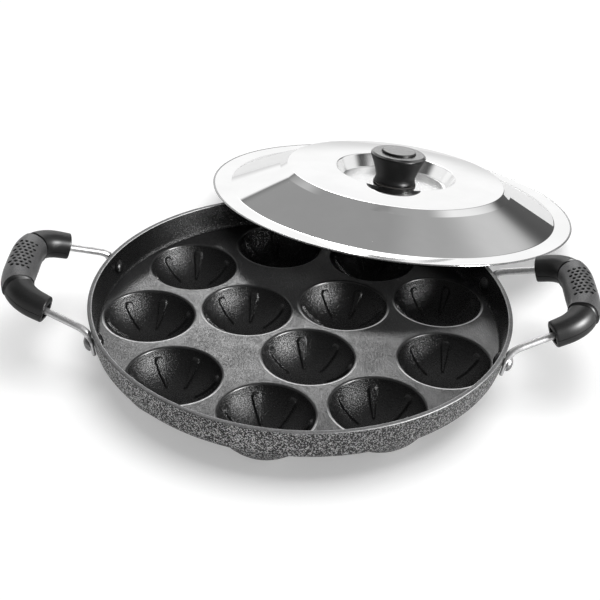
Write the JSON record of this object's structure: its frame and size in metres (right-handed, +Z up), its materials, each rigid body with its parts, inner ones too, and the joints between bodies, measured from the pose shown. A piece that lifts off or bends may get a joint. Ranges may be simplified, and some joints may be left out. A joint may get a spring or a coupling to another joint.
{
  "type": "paniyaram pan with lid",
  "caption": "Round cast pan with a basin of ribbed hemispherical moulds, riveted wire loop handles with black grips, and a domed steel lid leaning on its rim",
  "frame": {"origin": "middle of the footprint of the pan with its leaning lid, on the surface that they stand on", "axes": "+X from the left to the right handle, +Y from the front to the lid behind the pan, +Z up"},
  "size_m": [0.3368, 0.379, 0.0578],
  "materials": {
    "casting": "black non-stick coating inside, grey speckled enamel outside, bare rim",
    "wire_steel": "polished steel rod and rivets",
    "screw_steel": "plated steel",
    "lid_steel": "mirror-polished stainless sheet",
    "moulding": "satin black thermoset moulding",
    "fibre": "dark fibre washer",
    "brass": "turned brass"
  },
  "bodies": {
    "pan": {"pan_body": "casting", "handle_wire_right": "wire_steel", "grip_upper_right": "moulding", "grip_lower_right": "moulding", "grip_screw_right_1": "screw_steel", "grip_screw_right_2": "screw_steel", "handle_wire_left": "wire_steel", "grip_upper_left": "moulding", "grip_lower_left": "moulding", "grip_screw_left_1": "screw_steel", "grip_screw_left_2": "screw_steel", "rivet_right_rear": "wire_steel", "rivet_right_front": "wire_steel", "rivet_left_front": "wire_steel", "rivet_left_rear": "wire_steel"},
    "lid": {"lid_shell": "lid_steel", "knob_washer": "fibre", "knob_screw_washer": "screw_steel", "knob_screw": "screw_steel", "knob_body": "moulding", "knob_cap": "moulding", "knob_insert": "brass"}
  },
  "joints": [
    {"name": "lid_lift", "type": "slide", "parent": "pan", "child": "lid", "axis": [0, 0, 1], "range_m": [0, 0.12]}
  ]
}
